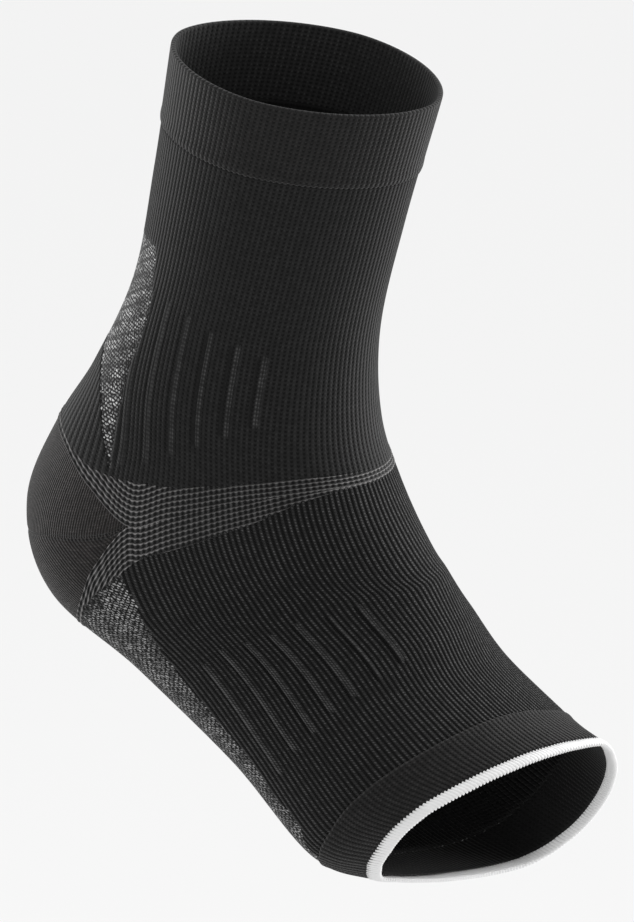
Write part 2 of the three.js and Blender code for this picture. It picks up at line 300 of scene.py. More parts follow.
def meshFromGrid(name, grid, keep, down, stripes=None, across=None):
    # a mesh of the kept faces of a grid that closes on itself round the sleeve, with a UV map
    # that counts ribs across and stitches down
    cols = grid.shape[1]
    r, c = np.nonzero(keep)
    nextC = (c + 1) % cols
    quads = np.stack([r * cols + c, r * cols + nextC, (r + 1) * cols + nextC, (r + 1) * cols + c], 1)
    used, flat = np.unique(quads, return_inverse=True)
    flat = flat.reshape(-1)
    mesh = bpy.data.meshes.new(name)
    mesh.vertices.add(len(used))
    mesh.vertices.foreach_set("co", grid.reshape(-1, 3)[used].astype(np.float32).ravel())
    mesh.loops.add(len(flat))
    mesh.loops.foreach_set("vertex_index", flat.astype(np.int32))
    mesh.polygons.add(len(quads))
    mesh.polygons.foreach_set("loop_start", (np.arange(len(quads)) * 4).astype(np.int32))
    mesh.update(calc_edges=True)
    if across is None:
        u = np.stack([c, c + 1, c + 1, c], 1) / sleeve["perRib"]
    else:
        u = np.stack([across[r, c], across[r, nextC], across[r + 1, nextC], across[r + 1, c]], 1)
    v = np.stack([down[r, c], down[r, nextC], down[r + 1, nextC], down[r + 1, c]], 1)
    layer = mesh.uv_layers.new(name="knit")
    layer.data.foreach_set("uv", np.stack([u, v], -1).astype(np.float32).ravel())
    if stripes is not None:
        mark = mesh.attributes.new("stripe", "FLOAT", "POINT")
        mark.data.foreach_set("value", stripes.reshape(-1)[used].astype(np.float32))
    mesh.validate()
    piece = bpy.data.objects.new(name, mesh)
    bpy.context.collection.objects.link(piece)
    return piece


def pick(*pieces):
    # selects these pieces alone, with the first one active
    bpy.ops.object.select_all(action="DESELECT")
    for piece in pieces:
        piece.select_set(True)
    bpy.context.view_layer.objects.active = pieces[0]


def mendMesh(mergeWithin=0.0, outward=True):
    # merges the active piece's points that lie together and turns its faces outward
    bpy.ops.object.mode_set(mode="EDIT")
    bpy.ops.mesh.select_all(action="SELECT")
    if mergeWithin:
        bpy.ops.mesh.remove_doubles(threshold=mergeWithin)
    if outward:
        bpy.ops.mesh.normals_make_consistent(inside=False)
    bpy.ops.object.mode_set(mode="OBJECT")


def joinPieces(pieces, name):
    # joins halves that meet, so that their shared edge is one
    pick(*pieces)
    bpy.ops.object.join()
    pieces[0].name = name
    mendMesh(mergeWithin=0.00001, outward=False)
    return pieces[0]


def giveThickness(piece, wall, outer, inner):
    # a solid wall inward from the outer face, closed round its edges, with its own finish inside
    piece.data.materials.append(outer)
    piece.data.materials.append(inner)
    pick(piece)
    mendMesh()
    bpy.ops.object.modifier_add(type="SOLIDIFY")
    solid = piece.modifiers[-1]
    solid.thickness = wall
    solid.offset = -1
    solid.material_offset = 1
    bpy.ops.object.modifier_apply(modifier=solid.name)
    bpy.ops.object.shade_smooth()
    piece.select_set(False)


def finishPiece(piece, node, flat=None):
    # flat is the width and length that the piece's cloth has when it is laid flat
    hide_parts(node)
    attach(piece, "root")
    if flat:
        cloth = sum(face.area for face in piece.data.polygons) / 2
        min(cloth, flat[0] * flat[1])
        print("cloth in square metres:", round(cloth, 5))
    print("made", piece.name)


# Materials
class Value:
    # a socket that adds Math nodes when it is used in an expression
    def __init__(self, shader, socket):
        self.shader, self.socket = shader, socket

    def math(self, operation, *others):
        return self.shader.node("ShaderNodeMath", {"operation": operation}, [self, *others])

    def __add__(self, other):
        return self.math("ADD", other)

    def __sub__(self, other):
        return self.math("SUBTRACT", other)

    def __rsub__(self, other):
        return self.shader.node("ShaderNodeMath", {"operation": "SUBTRACT"}, [other, self])

    def __mul__(self, other):
        return self.math("MULTIPLY", other)

    __radd__ = __add__
    __rmul__ = __mul__

    def fract(self):
        return self.math("FRACT")

    def floor(self):
        return self.math("FLOOR")

    def size(self):
        return self.math("ABSOLUTE")

    def most(self, other):
        return self.math("MAXIMUM", other)

    def wave(self, turns=1):
        # a cosine that comes round that many times as this value goes up by one
        return (self * (2 * math.pi * turns)).math("COSINE")

    def pulse(self):
        # the same wave between 0 and 1
        return self.wave() * 0.5 + 0.5

    def ramp(self, low, high, fromLow=0.0, fromHigh=1.0):
        # eases from one value to another as this one goes from fromLow to fromHigh
        return self.shader.node("ShaderNodeMapRange", {"interpolation_type": "SMOOTHSTEP"},
                                [self, fromLow, fromHigh, low, high])


class Shader:
    def __init__(self, name):
        self.material = bpy.data.materials.new(name)
        self.material.use_nodes = True
        self.tree = self.material.node_tree
        self.surface = self.tree.nodes["Principled BSDF"]

    def node(self, kind, settings=None, values=(), output=0):
        made = self.tree.nodes.new(kind)
        for key, setting in (settings or {}).items():
            setattr(made, key, setting)
        pairs = values.items() if isinstance(values, dict) else enumerate(values)
        for key, value in pairs:
            self.put(made.inputs[key], value)
        return Value(self, made.outputs[output])

    def put(self, socket, value):
        if isinstance(value, Value):
            self.tree.links.new(value.socket, socket)
        else:
            socket.default_value = value

    def set(self, **values):
        for key, value in values.items():
            self.put(self.surface.inputs[key.replace("_", " ")], value)

    def knitPlace(self):
        # ribs across and courses down, from the piece's own UV map
        across = self.node("ShaderNodeSeparateXYZ", {}, [self.node("ShaderNodeUVMap", {"uv_map": "knit"})])
        return across, Value(self, across.socket.node.outputs[1])

    def mark(self):
        # what the piece's mesh says of stripes, fading edges and the painted shade down the sides of strands
        return self.node("ShaderNodeAttribute", {"attribute_name": "stripe"}, output=2)

    def noise(self, scale, detail=2.0):
        place = self.node("ShaderNodeTexCoord", output=3)
        return self.node("ShaderNodeTexNoise", {}, {"Vector": place, "Scale": scale, "Detail": detail})

    def cellNoise(self, across, down):
        # one random value for each stitch
        cell = self.node("ShaderNodeCombineXYZ", {}, [across.floor(), down.floor(), 0.0])
        return self.node("ShaderNodeTexWhiteNoise", {"noise_dimensions": "3D"}, {"Vector": cell})

    def mixColors(self, factor, first, second):
        return self.node("ShaderNodeMix", {"data_type": "RGBA"}, {0: factor, 6: first, 7: second}, output=2)

    def bump(self, height, distance, strength=1.0):
        return self.node("ShaderNodeBump", {}, {"Strength": strength, "Distance": distance, "Height": height})

    def cloth(self, color, height, depth, roughness=0.8, sheen=0.15, sheenRoughness=0.4):
        # the finish of knitted yarn, with its stitches as relief of this depth
        self.set(Base_Color=color, Roughness=roughness, Sheen_Weight=sheen, Sheen_Roughness=sheenRoughness,
                 Specular_IOR_Level=0.2, Normal=self.bump(height, depth))
        return self.material


def gray(level, warm=0.0):
    return (level * (1 + warm), level, level * (1 - warm * 0.3), 1.0)


# Tones and depths of the ribbed knit; each other look changes some of them
knitLook = dict(
    dark=0.0008,
    crest=0.0115,
    # colour of the painted highlights on the stitch tops
    fleck=0.035,
    groove=0.8,          # how light the groove is beside the crest; its darkness is painted shade
    hole=1.0,            # how dark the holes between stitches are, as painted shade
    crestGlints=0.4,            # how strong the painted highlights on the crest are
    stitches=1.0,        # stitches to a course
    rungs=0.075,         # lightness of the stripes' rungs, partly painted highlight
    seam=0.07,           # lightness of the stitches along a seam
    warm=0.0,
    roughness=0.8,
    sheen=0.1,
    stitchDepth=0.0002,
)
# The foot's look: brighter painted highlights on the crests, and grooves made black with painted shade
footLook = dict(knitLook, dark=0.0003, crest=0.02, fleck=0.11, groove=0.0, hole=0.5, crestGlints=0.7, stitches=1.4,
                rungs=0.13, sheen=0.06, stitchDepth=0.0003)
# The sleeve's inside: the same yarn made darker, as painted shade
insideLookShaded = dict(knitLook, dark=0.0015, crest=0.005, fleck=0.009, sheen=0.05)


def ribbedKnit(name, look=knitLook, stripe=False, seam=False):
    # ribs with a stitch at every course: a light strand on the crest, a groove darkened with painted shade,
    # and a dark hole of painted shade beside each stitch
    shader = Shader(name)
    u, v = shader.knitPlace()
    v = v * look["stitches"]
    warm = look["warm"]
    crest = 1 - (u.fract() * 2 - 1).size()
    stitch = (v + crest * 0.3).pulse()
    random = shader.cellNoise(u, v)
    patchy = shader.noise(70.0, 3.0)
    hole = (1 - crest).ramp(0, 1, 0.3, 0.7) * stitch.ramp(0, 1, 0.2, 0.6)
    strand = crest.ramp(0, 1, 0.25, 0.85) * (0.75 + 0.25 * stitch)
    # the groove and the holes darkened, as painted shade
    tone = (look["groove"] + (1 - look["groove"]) * strand) * (1 - hole * look["hole"])
    tone = tone * (0.75 + 0.5 * random) * (0.8 + 0.4 * patchy)
    # painted highlights on the stitch tops
    paintedGlints = (stitch * crest * crest).ramp(0, 1, 0.3, 0.8) * random.ramp(0.15, 1, 0.2, 0.9)
    color = shader.mixColors(tone, gray(look["dark"], warm), gray(look["crest"], warm))
    color = shader.mixColors(paintedGlints * look["crestGlints"], color, gray(look["fleck"], warm))
    height = crest.ramp(0, 1, 0.0, 0.7) * 0.3 + stitch * crest * 0.5 - hole * 0.6 + random * 0.1
    if stripe:      # light rungs, partly painted highlight, each in two halves, and painted shadow in the groove where the mark is below 0
        mark = shader.mark()
        color = shader.mixColors((mark * -1.0).most(0.0) * 0.6, color, gray(look["dark"], warm))
        # the rungs: ladder stitches whose lightness is partly painted highlight
        rung = v.pulse().ramp(0.25, 1, 0.3, 0.9)
        halves = u.wave(2).ramp(0.25, 1, -0.6, 0.6)
        glow = mark.most(0.0) * rung * halves * (0.4 + 0.5 * random)
        color = shader.mixColors(glow, color, gray(look["rungs"], warm))
    if seam:
        color = shader.mixColors(v.ramp(1, 0, 0.3, 1.1) * stitch * 0.6, color, gray(look["seam"], warm))
    return shader.cloth(color, height, look["stitchDepth"], look["roughness"], look["sheen"])


def meshKnit(name, pad):
    # marled open knit: light loops set alternately, with dark holes between
    shader = Shader(name)
    u, v = shader.knitPlace()
    curl, sway = shader.noise(850.0, 2.0), shader.noise(620.0, 2.0)
    a = u * pad["loopsAcross"] + curl * 1.3
    b = v * pad["loopsDown"] + sway * 1.3
    shifted = a + b.floor() * 0.5
    dot = shifted.pulse() * (b.wave() * -0.5 + 0.5)
    random = shader.cellNoise(shifted, b)
    marl = shader.noise(1100.0, 2.0)
    blot = shader.noise(160.0, 2.0)
    tone = dot.ramp(0, 1, 0.1, 0.6) * (0.35 + 0.65 * random) * marl.ramp(0.5, 1.4, 0.35, 0.65)
    tone = tone * blot.ramp(0.45, 1.3, 0.38, 0.62)
    if pad["slanting"]:     # dim lines that run aslant
        lines = ((v * 0.26 + u * 0.20).fract() - 0.5).size()
        tone = tone * lines.ramp(0.3, 1, 0.06, 0.2)
    tone = tone * (shader.mark() + random * 0.5).ramp(0.12, 1, 0.2, 0.85)
    color = shader.mixColors(tone, gray(pad["dark"]), gray(pad["light"]))
    height = dot * 0.8 + marl * 0.3
    return shader.cloth(color, height, depth=0.0003)


# the inside of every piece, darkened with painted shade
sleeveInsideShaded = ribbedKnit("sleeveInsideShaded", insideLookShaded)

# Camera at the photo's angle; it looks slightly beside the ankle so that the sleeve sits as in the photo
cameraView = dict(
    azimuth=24.2,
    elevation=18.2,
    distance=3.105,
    aim=(0.032, 0.0, 0.020),
    aside=-0.00587,
    raised=-0.02192,
    lens=420.6,
    sensor=36,
    farthest=100,
)


def makeCamera():
    a, e = math.radians(cameraView["azimuth"]), math.radians(cameraView["elevation"])
    back = Vector((math.sin(a) * math.cos(e), -math.cos(a) * math.cos(e), math.sin(e)))
    right = Vector((math.cos(a), math.sin(a), 0))
    aim = Vector(cameraView["aim"]) + right * cameraView["aside"] + back.cross(right) * cameraView["raised"]
    data = bpy.data.cameras.new("photoCamera")
    data.lens = cameraView["lens"]
    data.sensor_width = cameraView["sensor"]
    data.clip_end = cameraView["farthest"]
    cam = bpy.data.objects.new("photoCamera", data)
    bpy.context.collection.objects.link(cam)
    cam.location = aim + back * cameraView["distance"]
    cam.rotation_euler = (-back).to_track_quat("-Z", "Y").to_euler()
    bpy.context.scene.camera = cam
    print("camera placed")


makeCamera()

# Ladder stripes, on both sides of the foot. halfWidth and groove, the width of the groove beside
# each stripe, are in ribs; the groove is also darkened with painted shadow. Each row gives a stripe's rib
# counted from the front, the shares of its zone's height where it starts and ends, and how light its rungs
# are
legStripes = dict(
    raised=0.0002, halfWidth=0.6,
    sunk=-0.0001, groove=0.8,
    rows=[
        (23.2, 0.60, 0.82, 1.0),
        (28.4, 0.55, 0.85, 0.9),
        (33.6, 0.52, 0.875, 0.9),
        (38.8, 0.485, 0.90, 0.85),
        (44.0, 0.455, 0.93, 0.6),
        (49.2, 0.44, 0.955, 0.45),
    ],
)
footStripes = dict(
    raised=0.00055, halfWidth=0.5,
    sunk=-0.0003, groove=0.4,
    rows=[
        (18.4, 0.418, 0.678, 0.35),
        (23.5, 0.406, 0.696, 0.5),
        (29.1, 0.392, 0.703, 0.7),
        (34.2, 0.384, 0.72, 0.8),
        (39.2, 0.38, 0.74, 1.0),
        (44.4, 0.364, 0.752, 1.0),
        (49.3, 0.375, 0.767, 1.0),
    ],
)


def stripeMarks(skin, stripes, rows):
    # a stripe's lightness where it runs and -1 in the groove on its back side, for every point of a zone
    shares = np.linspace(0, 1, rows + 1)
    rib = skin["list"] / sleeve["perRib"]
    rib = np.where(rib > skin["ribs"] / 2, rib - skin["ribs"], rib)
    marks = np.zeros((rows + 1, skin["columns"]))
    half, groove = stripes["halfWidth"], stripes["groove"]
    for place, start, end, light in stripes["rows"]:
        down = (shares > start) & (shares < end)
        for centre, turn in ((-place, 1), (place, -1)):
            aside = (rib - centre) * turn
            marks[np.ix_(down, np.abs(aside) < half)] = light
            marks[np.ix_(down, (aside <= -half) & (aside > -half - groove))] = -1
    return marks


def stripedGrid(skin, start, end, rows, stripes):
    # a zone's points with its stripes raised, and the stripes' marks
    marks = stripeMarks(skin, stripes, rows)
    plain = np.broadcast_to(ribRelief(skin), marks.shape)
    lift = np.where(marks > 0, stripes["raised"], np.where(marks < 0, stripes["sunk"], plain))
    return gridOfZone(skin, start, end, rows, lift), marks


def courseCount(start, end, rows):
    # how many courses of knit lie above each point of a zone
    shares = np.linspace(0, 1, rows + 1)[:, None]
    return (start[None, :] + shares * (end - start)[None, :]) / sleeve["course"]


def faceCentres(grid):
    right = np.roll(grid, -1, 1)
    return (grid[:-1] + grid[1:] + right[:-1] + right[1:]) / 4


def tidyCorners(mask, rounds=6):
    # no two kept faces meet at a corner alone, and nor do two left out
    for _ in range(rounds):
        right = np.roll(mask, -1, 1)
        a, b, c, d = mask[:-1], right[:-1], mask[1:], right[1:]
        first, second = a & d & ~b & ~c, b & c & ~a & ~d
        if not (first.any() or second.any()):
            break
        fixed = mask.copy()
        fixed[:-1] |= second
        fixed[1:] |= first
        mask = fixed
    return mask


def grown(mask):
    # the mask and one more face on every side
    wide = mask | np.roll(mask, 1, 1) | np.roll(mask, -1, 1)
    tall = wide.copy()
    tall[1:] |= wide[:-1]
    tall[:-1] |= wide[1:]
    return tall


def under(grid, depth):
    # the same grid a little further in
    outward = np.cross(np.gradient(grid, axis=0), np.roll(grid, -1, 1) - np.roll(grid, 1, 1))
    outward /= np.linalg.norm(outward, axis=2, keepdims=True)
    return grid - outward * depth


# The leg: rows of knit from the cuff to the band, with the tendon pad showing through it. flat is
# the width and length of a piece's cloth laid flat, and fade the metres over which a pad fades in
legZone = dict(rows=80, wall=0.0013, flat=(0.272, 0.104))
tendonPad = dict(
    top=0.52,            # share of legHeight
    fade=0.0035,
    flat=(0.07, 0.07),
    dark=0.006,
    light=0.74,
    loopsAcross=1.45,    # for each rib
    loopsDown=1.2,       # for each course
    slanting=True,
)


def makeLegAndPad():
    s, zone, ends = sleeve, legZone, legSkin["ends"]
    size = (s["ankleDepth"], s["legHeight"])
    start, end = ends["cuff"] - s["tuck"], ends["bandTop"] + s["tuck"]
    grid, marks = stripedGrid(legSkin, start, end, zone["rows"], legStripes)
    centre = faceCentres(grid)
    x, z = centre[..., 0], centre[..., 2]
    front, back = seamForward(padFrontSeam, *size), seamHeight(padBackSeam, *size)
    inPad = tidyCorners((x < front(z)) & (z > back(x)) & (z < tendonPad["top"] * s["legHeight"]))
    courses = courseCount(start, end, zone["rows"])
    leg = meshFromGrid("legKnit", grid, ~inPad, courses, marks)
    giveThickness(leg, zone["wall"], ribbedKnit("legRibbed", stripe=True), sleeveInsideShaded)
    fade = np.clip((front(grid[..., 2]) - grid[..., 0]) / tendonPad["fade"], 0, 1)
    pad = meshFromGrid("tendonPad", under(grid, s["edgeLift"]), tidyCorners(grown(inPad)), courses, fade)
    giveThickness(pad, zone["wall"], meshKnit("tendonMarl", tendonPad), sleeveInsideShaded)
    finishPiece(leg, "leg_sleeve", zone["flat"])
    finishPiece(pad, "achilles_pad", tendonPad["flat"])


makeLegAndPad()

# The foot: rows of knit from the band to the forefoot cuff, with the arch pad showing through it
footZone = dict(rows=84, wall=0.0013, flat=(0.187, 0.128))
archPad = dict(
    fade=0.007,
    flat=(0.112, 0.126),
    dark=0.006,
    light=0.48,
    loopsAcross=1.5,
    loopsDown=1.3,
    slanting=False,
)


def makeFootAndArch():
    s, zone, ends = sleeve, footZone, footSkin["ends"]
    start, end = ends["bandLow"] - s["tuck"], ends["forefoot"] + s["tuck"]
    grid, marks = stripedGrid(footSkin, start, end, zone["rows"], footStripes)
    centre = faceCentres(grid)
    arch = seamHeight(archSeam, s["footReach"], s["footDrop"])
    inArch = tidyCorners(centre[..., 2] < arch(centre[..., 0]))
    courses = courseCount(start, end, zone["rows"])
    foot = meshFromGrid("footKnit", grid, ~inArch, courses, marks)
    giveThickness(foot, zone["wall"], ribbedKnit("footRibbed", footLook, stripe=True), sleeveInsideShaded)
    shares = np.linspace(0, 1, zone["rows"] + 1)[:, None]
    fade = np.clip(shares * (end - start)[None, :] / archPad["fade"], 0, 1)
    pad = meshFromGrid("archPad", under(grid, s["edgeLift"]), tidyCorners(grown(inArch)), courses, fade)
    giveThickness(pad, zone["wall"], meshKnit("archMarl", archPad), sleeveInsideShaded)
    finishPiece(foot, "foot_sleeve", zone["flat"])
    finishPiece(pad, "arch_pad", archPad["flat"])


makeFootAndArch()

# The heel pocket between the band's two arms, in two halves whose fine ribs slant to meet
# at a seam round the middle of the heel
pocket = dict(
    rows=30,
    wall=0.0013,
    flat=(0.135, 0.074),
    least=0.0004,        # height below which it ends
    margin=0.02,         # least share of its height that each half has
    seamDepth=0.00025,
    seamWidth=0.0008,
    ribPitch=0.00102,
    upperSlant=10,       # degrees that the ribs lean, toward the back above the seam
    lowerSlant=-48,      # and toward the front below it
    seamLine=[(-0.6, -0.275), (-0.47, -0.259), (-0.381, -0.234), (-0.287, -0.213), (-0.209, -0.189),
              (-0.144, -0.155), (0.0, -0.11)],
    dark=0.0008,
    ridge=0.0155,
    fleck=0.06,
    warm=0.2,
    beadWarm=0.1,
    stitches=1.1,        # for each millimetre
)


def heelKnit(name):
    # close fine ribs that meet at a beaded seam; v is millimetres below it
    shader = Shader(name)
    u, v = shader.knitPlace()
    p, fromSeam = pocket, v.size()
    ridge = u.pulse()
    stitch = (v * p["stitches"] + ridge * 0.3).pulse()
    random = shader.cellNoise(u, v * p["stitches"])
    seam = fromSeam.ramp(1, 0, 0.5, 1.0)
    beads = fromSeam.ramp(1, 0, 0.15, 0.45) * u.wave().ramp(0, 1, 0.2, 0.8)
    tone = (0.2 + 0.8 * ridge) * (0.8 + 0.2 * stitch) * (0.7 + 0.6 * random) * (1 - seam * 0.9)
    light = gray(p["fleck"], p["beadWarm"])
    color = shader.mixColors(tone, gray(p["dark"], p["warm"]), gray(p["ridge"], p["warm"]))
    color = shader.mixColors(ridge * stitch * random.ramp(0, 0.7, 0.5, 1), color, light)
    color = shader.mixColors(beads * 0.6, color, light)
    height = ridge * 0.6 + stitch * ridge * 0.25 + random * 0.15 - seam * 2.0
    return shader.cloth(color, height, depth=0.0003, roughness=0.75, sheen=0.13, sheenRoughness=0.35)


def makePocket():
    s, p, ends = sleeve, pocket, legSkin["ends"]
    wide = ends["pocketLow"] - ends["pocketTop"] > p["least"]
    keep = np.broadcast_to(wide & np.roll(wide, -1), (p["rows"], legSkin["columns"]))
    top, low = ends["pocketTop"] - s["tuck"], ends["pocketLow"] + s["tuck"]
    seam = seamHeight(p["seamLine"], s["heelDepth"], s["footDrop"])
    middle = np.array([crossing(legSkin, c, seam, top[c]) if wide[c] else top[c] for c in legSkin["list"]])
    middle = np.clip(middle, top + (low - top) * p["margin"], low - (low - top) * p["margin"])
    level = legSkin["points"][len(legSkin["points"]) // 2]
    run = np.cumsum(np.linalg.norm(np.roll(level, -1, 0) - level, axis=1))
    fromFront = np.minimum(run, run[-1] - run)
    shares = np.linspace(0, 1, p["rows"] + 1)[:, None]
    halves = []
    for name, start, end, slant in (("heelUpper", top, middle, p["upperSlant"]),
                                    ("heelLower", middle, low, p["lowerSlant"])):
        below = start[None, :] + shares * (end - start)[None, :] - middle[None, :]
        sunk = p["seamDepth"] * np.exp(-(below / p["seamWidth"]) ** 2)
        grid = gridOfZone(legSkin, start, end, p["rows"], -sunk)
        lean = math.radians(slant)
        ribs = (fromFront[None, :] * math.cos(lean) - below * math.sin(lean)) / p["ribPitch"]
        halves.append(meshFromGrid(name, grid, keep, below * 1000, None, ribs))
    piece = joinPieces(halves, "heelPocket")
    giveThickness(piece, p["wall"], heelKnit("heelFine"), sleeveInsideShaded)
    finishPiece(piece, "heel_pocket", p["flat"])


makePocket()

# The figure-eight band: rows run beside the pocket's edges and the line between its points
band = dict(
    rows=32,
    wall=0.00145,
    flat=(0.309, 0.025),
    pitchSide=0.00165,
    pitchFront=0.00115,
    frontFrom=0.0,       # metres forward where the rows start to close up
    frontTo=0.045,
    pointAt=-0.144,      # share of heelDepth where the pocket's point is
    turnLength=0.014,    # metres over which the rows turn to run beside the band's outer edges
    turnReach=0.001,     # how near the end of that turn the band's height is taken
    spread=0.35,         # how much of the change in its height the rows follow
    raised=0.00014,
    dark=0.0006,
    walls=0.05,
    light=0.25,
    wave=0.06,           # how far a row waves over each rib
    heelRibs=(21, 36),   # ribs from the back where the light rows grow fainter
    frontRibs=(50, 62),  # and where they come up again, as painted light
    faint=0.45,
)


def bandKnit(name):
    # thin light rows that wave over each rib, on dark stitches set in squares; the rows fade
    # a little away from the heel and come up again toward the front as painted light
    shader = Shader(name)
    u, v = shader.knitPlace()
    b, across = band, u.fract()
    crest = 1 - (across * 2 - 1).size()
    wave = across.wave() * b["wave"]
    fromRow = ((v + wave + 0.5).fract() - 0.5).size()
    row = fromRow.ramp(1, 0, 0.03, 0.24)
    random = shader.cellNoise(u * 2, v * 2)
    aside = (u - legSkin["ribs"] / 2).size()
    # the rows' lightness round the band: fainter away from the heel, and lighter again toward the front as
    # painted light
    rowFadeAndPaintedLight = aside.ramp(1, b["faint"], *b["heelRibs"]) + aside.ramp(0, b["faint"], *b["frontRibs"])
    walls = crest.ramp(0, 1, 0.25, 0.95)
    base = shader.mixColors(walls * (0.3 + 0.7 * random), gray(b["dark"]), gray(b["walls"]))
    glint = row * (0.15 + 0.3 * random + 0.7 * crest) * rowFadeAndPaintedLight
    color = shader.mixColors(glint, base, gray(b["light"], 0.03))
    height = row * 0.6 + walls * 0.4 + random * 0.1
    return shader.cloth(color, height, depth=0.00025)


def makeBand():
    b, ends = band, legSkin["ends"]
    forward = legSkin["points"][len(legSkin["points"]) // 2, :, 0]
    closing = np.clip((forward - b["frontFrom"]) / (b["frontTo"] - b["frontFrom"]), 0, 1)
    pitch = b["pitchSide"] + (b["pitchFront"] - b["pitchSide"]) * closing
    point = b["pointAt"] * sleeve["heelDepth"]
    turned = ease(forward, point, point + b["turnLength"])
    atTurn = np.abs(forward - point - b["turnLength"]) < b["turnReach"]
    shares = np.linspace(0, 1, b["rows"] + 1)[:, None]
    keep = np.ones((b["rows"], legSkin["columns"]), bool)
    halves = []
    for name, start, end, side in (("bandUpper", "bandTop", "pocketTop", -1),
                                   ("bandLower", "pocketLow", "bandLow", 1)):
        height = ends[end] - ends[start]
        fromMiddle = (1 - shares if side < 0 else shares) * height[None, :]
        across = height / pitch
        counted = side * (fromMiddle / pitch + b["spread"] * turned * (across[atTurn].mean() - across))
        lift = ribRelief(legSkin)[None, :] + b["raised"] * np.cos(2 * np.pi * counted) + sleeve["edgeLift"]
        grid = gridOfZone(legSkin, ends[start], ends[end], b["rows"], lift)
        halves.append(meshFromGrid(name, grid, keep, counted))
    piece = joinPieces(halves, "supportBand")
    giveThickness(piece, b["wall"], bandKnit("bandRows"), sleeveInsideShaded)
    finishPiece(piece, "support_band", b["flat"])


makeBand()

# What the two cuffs share: how their section is rounded, and how its end tucks under the rib beside it
cuffSection = dict(
    shoulderRows=5,
    beadWidth=0.05,      # share of a cuff's height, as are the next two
    tuckFrom=0.965,
    ribsFrom=0.06,       # where the ribs have come up to their height
    tuckDepth=0.0002,
)


def cuffProfile(piece):
    # points of (share down the cuff, lift), down its outside and back up its inside
    section, edge, lift = cuffSection, piece["edge"], piece["lift"]
    shoulderRows = section["shoulderRows"]
    share = np.concatenate([np.linspace(0, edge, shoulderRows)[:-1],
                            np.linspace(edge, 1, piece["rows"] - shoulderRows + 2)])
    shoulder = np.sqrt(np.clip(1 - np.clip((edge - share) / edge, 0, 1) ** 2, 0, 1))
    middle = (lift - piece["wall"]) / 2
    bead = piece["bead"] * np.exp(-((share - piece["beadAt"]) / section["beadWidth"]) ** 2)
    tucked = (lift + section["tuckDepth"]) * ease(share, section["tuckFrom"], 1.0)
    outer = middle + (lift - middle) * shoulder + bead - tucked
    inner = middle - (lift - middle) * shoulder
    return np.concatenate([np.stack([share, outer], 1), np.stack([share[::-1], inner[::-1]], 1)])


def ringPoints(skin, start, end, profile, slide=0.0, ribs=0.0):
    # points of a closed ring whose section is a loop of (share down the zone, lift) points
    slide = np.broadcast_to(slide, (len(profile), skin["columns"]))
    half = len(profile) // 2
    fade = np.zeros(len(profile))
    fade[:half] = ease(profile[:half, 0], 0.0, cuffSection["ribsFrom"]) * ribs
    relief = ribRelief(skin)
    points = np.empty((len(profile), skin["columns"], 3))
    for c in skin["list"]:
        lengths = start[c] + profile[:, 0] * (end[c] - start[c]) + slide[:, c]
        point, normal = atLength(skin, c, np.clip(lengths, 0, skin["length"][-1, c]))
        points[:, c] = point + normal * (profile[:, 1] + fade * relief[c])[:, None]
    return points


def scallops(skin, depth):
    # a small arch at the edge of each rib
    return np.abs(np.sin(np.pi * skin["list"] / sleeve["perRib"])) * depth


def closedRing(name, points, down, outerRows, outer, inner):
    # joins the last row of the loop to the first, with its own finish inside
    looped = np.concatenate([points, points[:1]], 0)
    columns = points.shape[1]
    keep = np.ones((len(points), columns), bool)
    piece = meshFromGrid(name, looped, keep, np.append(down, down[0])[:, None] * np.ones(columns))
    piece.data.materials.append(outer)
    piece.data.materials.append(inner)
    inside = (np.arange(len(points) * columns) // columns >= outerRows).astype(np.int32)
    piece.data.polygons.foreach_set("material_index", inside)
    pick(piece)
    mendMesh(mergeWithin=0.000001)
    bpy.ops.object.shade_smooth()
    piece.select_set(False)
    return piece


# The doubled welt at the top
cuff = dict(
    rows=26,
    lift=0.0004,
    wall=0.0010,
    flat=(0.245, 0.024),
    bead=0.0002,
    beadAt=0.9,
    edge=0.022,          # share of its height over which the top is rounded
    scallop=0.00022,
    scallopFrom=0.8,
    ribs=0.8,            # its ribs' height over that of the leg's
    outside=dict(knitLook, dark=0.002, crest=0.0115, fleck=0.035, sheen=0.15, warm=0.03),
    # its inner face is the same yarn made lighter, as painted light
    inside=dict(knitLook, dark=0.008, crest=0.022, fleck=0.07, sheen=0.08),
)


def makeCuff():
    profile = cuffProfile(cuff)
    slide = ease(profile[:, 0], cuff["scallopFrom"], 1.0)[:, None] * scallops(legSkin, cuff["scallop"])
    rim = np.zeros(legSkin["columns"])
    points = ringPoints(legSkin, rim, legSkin["ends"]["cuff"], profile, slide, cuff["ribs"])
    down = profile[:, 0] * sleeve["cuffHeight"] / sleeve["course"]
    piece = closedRing("ankleCuff", points, down, len(profile) // 2,
                       ribbedKnit("weltKnit", cuff["outside"]), ribbedKnit("weltInsidePaintedLight", cuff["inside"]))
    finishPiece(piece, "ankle_cuff", cuff["flat"])


makeCuff()

# The smoother band before the toes
forefoot = dict(
    rows=16,
    lift=0.0003,
    wall=0.0014,
    flat=(0.28, 0.015),
    bead=0.0002,
    beadAt=0.05,
    edge=0.05,
    scallop=0.00025,
    scallopTo=0.2,
    ribs=0.35,           # its ribs' height over that of the foot's
    outside=dict(knitLook, crest=0.0135, fleck=0.06, groove=0.7, hole=0.85, stitches=1.4, warm=0.03),
)


